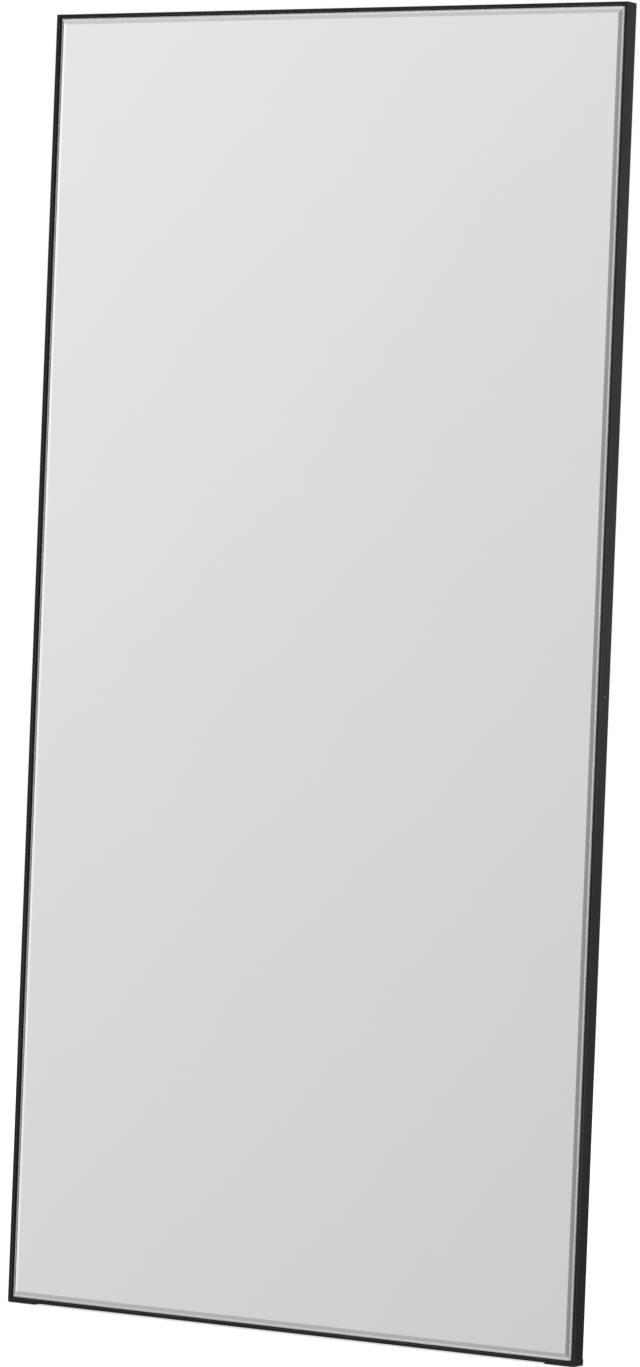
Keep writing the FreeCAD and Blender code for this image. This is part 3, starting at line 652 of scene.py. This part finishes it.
def side_screw_tree(settings):
    """A countersunk screw with a hexagon socket. Its flush top is at height zero."""
    sizes = {
        "Head Diameter": SIDE_HEAD,
        "Head Height": SIDE_HEAD_HEIGHT,
        "Shank Diameter": SIDE_SHANK,
        "Shank Length": SIDE_LENGTH,
        "Socket Width": settings.socket_width,
        "Socket Depth": SOCKET_DEPTH,
    }
    tree, wiring, inputs = start_screw_tree("side_screws", sizes)
    radius = wiring.math("MULTIPLY", inputs["Head Diameter"], 0.5)
    shank = wiring.math("MULTIPLY", inputs["Shank Diameter"], 0.5)
    low = wiring.math("MULTIPLY", inputs["Head Height"], -1.0)
    head = cone(wiring, low, shank, inputs["Head Height"], radius)
    reach = wiring.math("MULTIPLY", inputs["Shank Length"], -1.0)
    straight = wiring.math("SUBTRACT", inputs["Shank Length"], SIDE_SHANK_STOP)
    body = cone(wiring, reach, shank, straight, shank)
    across = wiring.math("MULTIPLY", inputs["Socket Width"], 1.0 / math.sqrt(3.0))
    floor = wiring.math("MULTIPLY", inputs["Socket Depth"], -1.0)
    deep = wiring.math("MULTIPLY", inputs["Socket Depth"], 2.0)
    socket = cone(wiring, floor, across, deep, across, SOCKET_SIDES)
    whole = boolean(wiring, "UNION", head, body)
    end_screw_tree(wiring, inputs, boolean(wiring, "DIFFERENCE", whole, socket))
    return tree


def solid_boxes(node):
    """Boxes round the separate solids of a node, found by walking the edges of a merged copy of its mesh."""
    solids = bmesh.new()
    solids.from_mesh(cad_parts[node].data)
    bmesh.ops.remove_doubles(solids, verts=solids.verts, dist=MERGE_REACH)
    solids.verts.index_update()
    boxes = []
    seen = set()
    for start in solids.verts:
        if start.index in seen:
            continue
        seen.add(start.index)
        solid = [start]
        for vertex in solid:
            for edge in vertex.link_edges:
                other = edge.other_vert(vertex)
                if other.index not in seen:
                    seen.add(other.index)
                    solid.append(other)
        low = [min(vertex.co[axis] for vertex in solid) for axis in range(3)]
        high = [max(vertex.co[axis] for vertex in solid) for axis in range(3)]
        boxes.append((low, high))
    solids.free()
    return boxes


def screw_places(name, spots):
    """A mesh of loose points, each with the turn that faces a screw's head outwards."""
    data = bpy.data.meshes.new(name)
    data.from_pydata([place for place, turn in spots], [], [])
    facing = data.attributes.new(FACING, "FLOAT_VECTOR", "POINT")
    for item, (place, turn) in zip(facing.data, spots):
        item.vector = turn
    return data


def grow_screws(name, tree, spots, finish, node, sizes=None):
    """Runs a screw tree on its places, and keeps the result as a plain mesh that stands for the node."""
    piece = add_object(name, screw_places(name, spots))
    modifier = piece.modifiers.new("screws", "NODES")
    modifier.node_group = tree
    for item in tree.interface.items_tree:
        if item.in_out == "INPUT" and item.socket_type == "NodeSocketFloat":
            modifier[item.identifier] = (sizes or {}).get(item.name, item.default_value)
        if item.in_out == "INPUT" and item.socket_type == "NodeSocketMaterial":
            modifier[item.identifier] = finish
    depsgraph = bpy.context.evaluated_depsgraph_get()
    grown = bpy.data.meshes.new_from_object(piece.evaluated_get(depsgraph), depsgraph=depsgraph)
    piece.modifiers.clear()
    piece.data = grown
    grown.name = name
    grown.shade_smooth()
    grown.set_sharp_from_angle(angle=SCREW_SHARP)
    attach(piece, "mirror")
    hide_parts(node)


class MIRROR_OT_pan_screws(bpy.types.Operator):
    """Set the cross-recessed screws of the corner keys, the board, the hangers and the bumpers"""

    bl_idname = "mirror.pan_screws"
    bl_label = "Pan-head screws"

    def execute(self, context):
        settings = context.scene.mirror_hardware
        tree = pan_screw_tree(settings)
        finish = zinc_material(settings)
        face_back = (-math.pi / 2, 0.0, 0.0)
        for node in PAN_SCREW_GROUPS:
            boxes = solid_boxes(node)
            first_low, first_high = boxes[0]
            seat = first_high[1] - settings.head_height
            depth = seat - first_low[1]
            spots = [(((low[0] + high[0]) / 2, seat, (low[2] + high[2]) / 2), face_back) for low, high in boxes]
            grow_screws(f"{node}_crossed", tree, spots, finish, node, {"Shank Length": depth})
        return {"FINISHED"}


class MIRROR_OT_side_screws(bpy.types.Operator):
    """Set the two countersunk screws just below the middle of the stiles"""

    bl_idname = "mirror.side_screws"
    bl_label = "Side screws"

    def execute(self, context):
        settings = context.scene.mirror_hardware
        spots = []
        for low, high in solid_boxes("side_screws"):
            outwards = 1.0 if high[0] > 0.0 else -1.0
            top = high[0] if outwards > 0.0 else low[0]
            spots.append(((top, SIDE_PLACE[0], SIDE_PLACE[1]), (0.0, outwards * math.pi / 2, 0.0)))
        tree = side_screw_tree(settings)
        grow_screws("side_screws_socket", tree, spots, steel_material(settings), "side_screws")
        return {"FINISHED"}


class MIRROR_OT_stage(bpy.types.Operator):
    """Set the floor, the light and the camera"""

    bl_idname = "mirror.stage"
    bl_label = "Stage"

    def execute(self, context):
        settings = context.scene.mirror_stage
        context.scene.view_settings.view_transform = "Standard"
        make_floor(settings)
        make_world(context.scene, settings)
        make_lamp("key", KEY_PLACE, settings.key_power, settings.lamp_size)
        make_lamp("fill", FILL_PLACE, settings.fill_power, settings.lamp_size)
        make_camera(context.scene, settings)
        return {"FINISHED"}


def make_floor(settings):
    """A pale floor that reads as white and keeps the mirror's shadow."""
    half = settings.floor / 2
    data = bpy.data.meshes.new("floor")
    corners = [(-half, -half, 0), (half, -half, 0), (half, half, 0), (-half, half, 0)]
    data.from_pydata(corners, [], [(0, 1, 2, 3)])
    material = bpy.data.materials.new("pale_floor")
    material.use_nodes = True
    wiring = Wiring(material.node_tree)
    material.node_tree.nodes.remove(material.node_tree.nodes["Principled BSDF"])
    seen = wiring.add("ShaderNodeLightPath").outputs["Is Camera Ray"]
    diffuse = wiring.add("ShaderNodeBsdfDiffuse", {"Color": (FLOOR_TONE, FLOOR_TONE, FLOOR_TONE, 1.0)})
    glow = wiring.add("ShaderNodeEmission", {"Strength": wiring.math("MULTIPLY", seen, FLOOR_GLOW)})
    both = wiring.add("ShaderNodeAddShader", {0: diffuse.outputs[0], 1: glow.outputs[0]})
    wiring.feed(material.node_tree.nodes["Material Output"].inputs["Surface"], both.outputs[0])
    data.materials.append(material)
    floor = add_object("floor", data)
    floor.visible_glossy = False
    floor.visible_transmission = False


# The soft studio that shines back: level by azimuth, and share of it by elevation, both in degrees
STUDIO_ROUND = (
    (-180.0, 0.50), (-90.0, 0.85), (-65.0, 1.05), (-38.0, 0.870), (-24.0, 0.740), (-12.0, 0.43), (6.0, 0.30),
    (30.0, 0.40), (60.0, 0.80), (100.0, 0.92), (150.0, 0.58), (180.0, 0.46),
)
STUDIO_UP = (
    (-90.0, 0.45), (-40.0, 0.435), (-14.0, 0.786), (10.0, 1.043), (22.0, 0.90), (38.0, 0.575), (90.0, 0.85),
)
MOST_LEVEL = 1.1
# Height and reach in degrees of the unlit strip that the right side of the frame shows near the floor
DARK_HEIGHT = -8.5
DARK_REACH = 7.0
# Where the strip sets in and is full, along a direction's X and Y
DARK_FROM = 0.1
DARK_FULL = 0.4


def make_world(scene, settings):
    """Even light, white to the camera, and one wide soft light in what shines."""
    world = bpy.data.worlds.new("studio")
    world.use_nodes = True
    scene.world = world
    wiring = Wiring(world.node_tree)
    background = world.node_tree.nodes["Background"]
    ray = wiring.add("ShaderNodeTexCoord").outputs["Generated"]
    parts = wiring.add("ShaderNodeSeparateXYZ", {"Vector": ray}).outputs
    forward = wiring.math("MULTIPLY", parts["Y"], -1.0)
    azimuth = wiring.math("ARCTAN2", parts["X"], forward)
    elevation = wiring.math("ARCSINE", parts["Z"])
    levels = []
    for angle_out, span, stops in ((azimuth, math.pi, STUDIO_ROUND), (elevation, math.pi / 2, STUDIO_UP)):
        place = wiring.spread(angle_out, 0.0, 1.0, -span, span)
        half = math.degrees(span)
        greys = [((degrees + half) / (2 * half), (level / MOST_LEVEL,) * 3) for degrees, level in stops]
        levels.append(wiring.ramp(place, greys))
    soft = wiring.add("ShaderNodeVectorMath", {0: levels[0], 1: levels[1]}, operation="MULTIPLY").outputs[0]
    to_dark = wiring.math("ABSOLUTE", wiring.math("SUBTRACT", elevation, math.radians(DARK_HEIGHT)))
    dark = wiring.spread(to_dark, 1.0, 0.0, math.radians(DARK_REACH / 3), math.radians(DARK_REACH))
    for side in ("X", "Y"):
        dark = wiring.math("MULTIPLY", dark, wiring.spread(parts[side], 0.0, 1.0, DARK_FROM, DARK_FULL))
    level = wiring.math("MULTIPLY", wiring.math("SUBTRACT", 1.0, dark), MOST_LEVEL ** 2)
    soft = wiring.add("ShaderNodeVectorMath", {0: soft, "Scale": level}, operation="SCALE").outputs[0]
    path = wiring.add("ShaderNodeLightPath")
    ambient = (settings.ambient,) * 3 + (1.0,)
    shining = wiring.math("MAXIMUM", path.outputs["Is Glossy Ray"], path.outputs["Is Transmission Ray"])
    shown = wiring.add("ShaderNodeMixRGB", {"Fac": shining, "Color1": ambient, "Color2": soft})
    white = (1.0, 1.0, 1.0, 1.0)
    seen = path.outputs["Is Camera Ray"]
    whole = wiring.add("ShaderNodeMixRGB", {"Fac": seen, "Color1": shown.outputs[0], "Color2": white})
    wiring.feed(background.inputs["Color"], whole.outputs[0])


def make_lamp(name, place, power, size):
    """A wide square lamp aimed at the mirror, which mirrors don't show."""
    data = bpy.data.lights.new(name, "AREA")
    data.size = size
    data.energy = power
    lamp = bpy.data.objects.new(name, data)
    lamp.location = place
    aim = Vector(LAMP_AIM) - lamp.location
    lamp.rotation_euler = aim.to_track_quat("-Z", "Y").to_euler()
    lamp.visible_glossy = False
    lamp.visible_transmission = False
    bpy.context.scene.collection.objects.link(lamp)


def make_camera(scene, settings):
    """The camera, at the photograph's angle."""
    data = bpy.data.cameras.new("camera")
    data.sensor_fit = "VERTICAL"
    data.sensor_height = PICTURE_HEIGHT
    data.lens = settings.lens
    camera = bpy.data.objects.new("camera", data)
    turn = Euler((0.0, 0.0, settings.azimuth)).to_matrix()
    tilt = Euler((math.pi / 2 + settings.elevation, 0.0, 0.0)).to_matrix()
    roll = Euler((0.0, 0.0, settings.roll)).to_matrix()
    aim = turn @ tilt @ roll
    target = Vector((settings.target_side, FRAME_FRONT, settings.target_height))
    camera.rotation_euler = aim.to_euler()
    camera.location = target + aim @ Vector((0.0, 0.0, settings.distance))
    scene.collection.objects.link(camera)
    scene.camera = camera


class MIRROR_PT_sidebar(bpy.types.Panel):
    """Lists the mirror's operators"""

    bl_idname = "MIRROR_PT_sidebar"
    bl_label = "Full-length mirror"
    bl_space_type = "VIEW_3D"
    bl_region_type = "UI"
    bl_category = "Mirror"

    def draw(self, context):
        for operator in OPERATORS:
            self.layout.operator(operator.bl_idname)


SETTINGS = {
    "mirror_pane": PaneSettings,
    "mirror_frame": FrameSettings,
    "mirror_hardware": HardwareSettings,
    "mirror_back": BackSettings,
    "mirror_stage": StageSettings,
}
OPERATORS = (
    MIRROR_OT_pane,
    MIRROR_OT_frame_coat,
    MIRROR_OT_back_board,
    MIRROR_OT_plated_steel,
    MIRROR_OT_pan_screws,
    MIRROR_OT_side_screws,
    MIRROR_OT_rubber,
    MIRROR_OT_stage,
)


def register():
    for name, group in SETTINGS.items():
        bpy.utils.register_class(group)
        setattr(bpy.types.Scene, name, bpy.props.PointerProperty(type=group))
    for operator in OPERATORS:
        bpy.utils.register_class(operator)
    bpy.utils.register_class(MIRROR_PT_sidebar)


def unregister():
    bpy.utils.unregister_class(MIRROR_PT_sidebar)
    for operator in reversed(OPERATORS):
        bpy.utils.unregister_class(operator)
    for name, group in reversed(SETTINGS.items()):
        delattr(bpy.types.Scene, name)
        bpy.utils.unregister_class(group)


def main():
    register()
    bpy.ops.mirror.pane()
    bpy.ops.mirror.frame_coat()
    bpy.ops.mirror.back_board()
    bpy.ops.mirror.plated_steel()
    bpy.ops.mirror.pan_screws()
    bpy.ops.mirror.side_screws()
    bpy.ops.mirror.rubber()
    bpy.ops.mirror.stage()


if __name__ == "__main__":
    main()
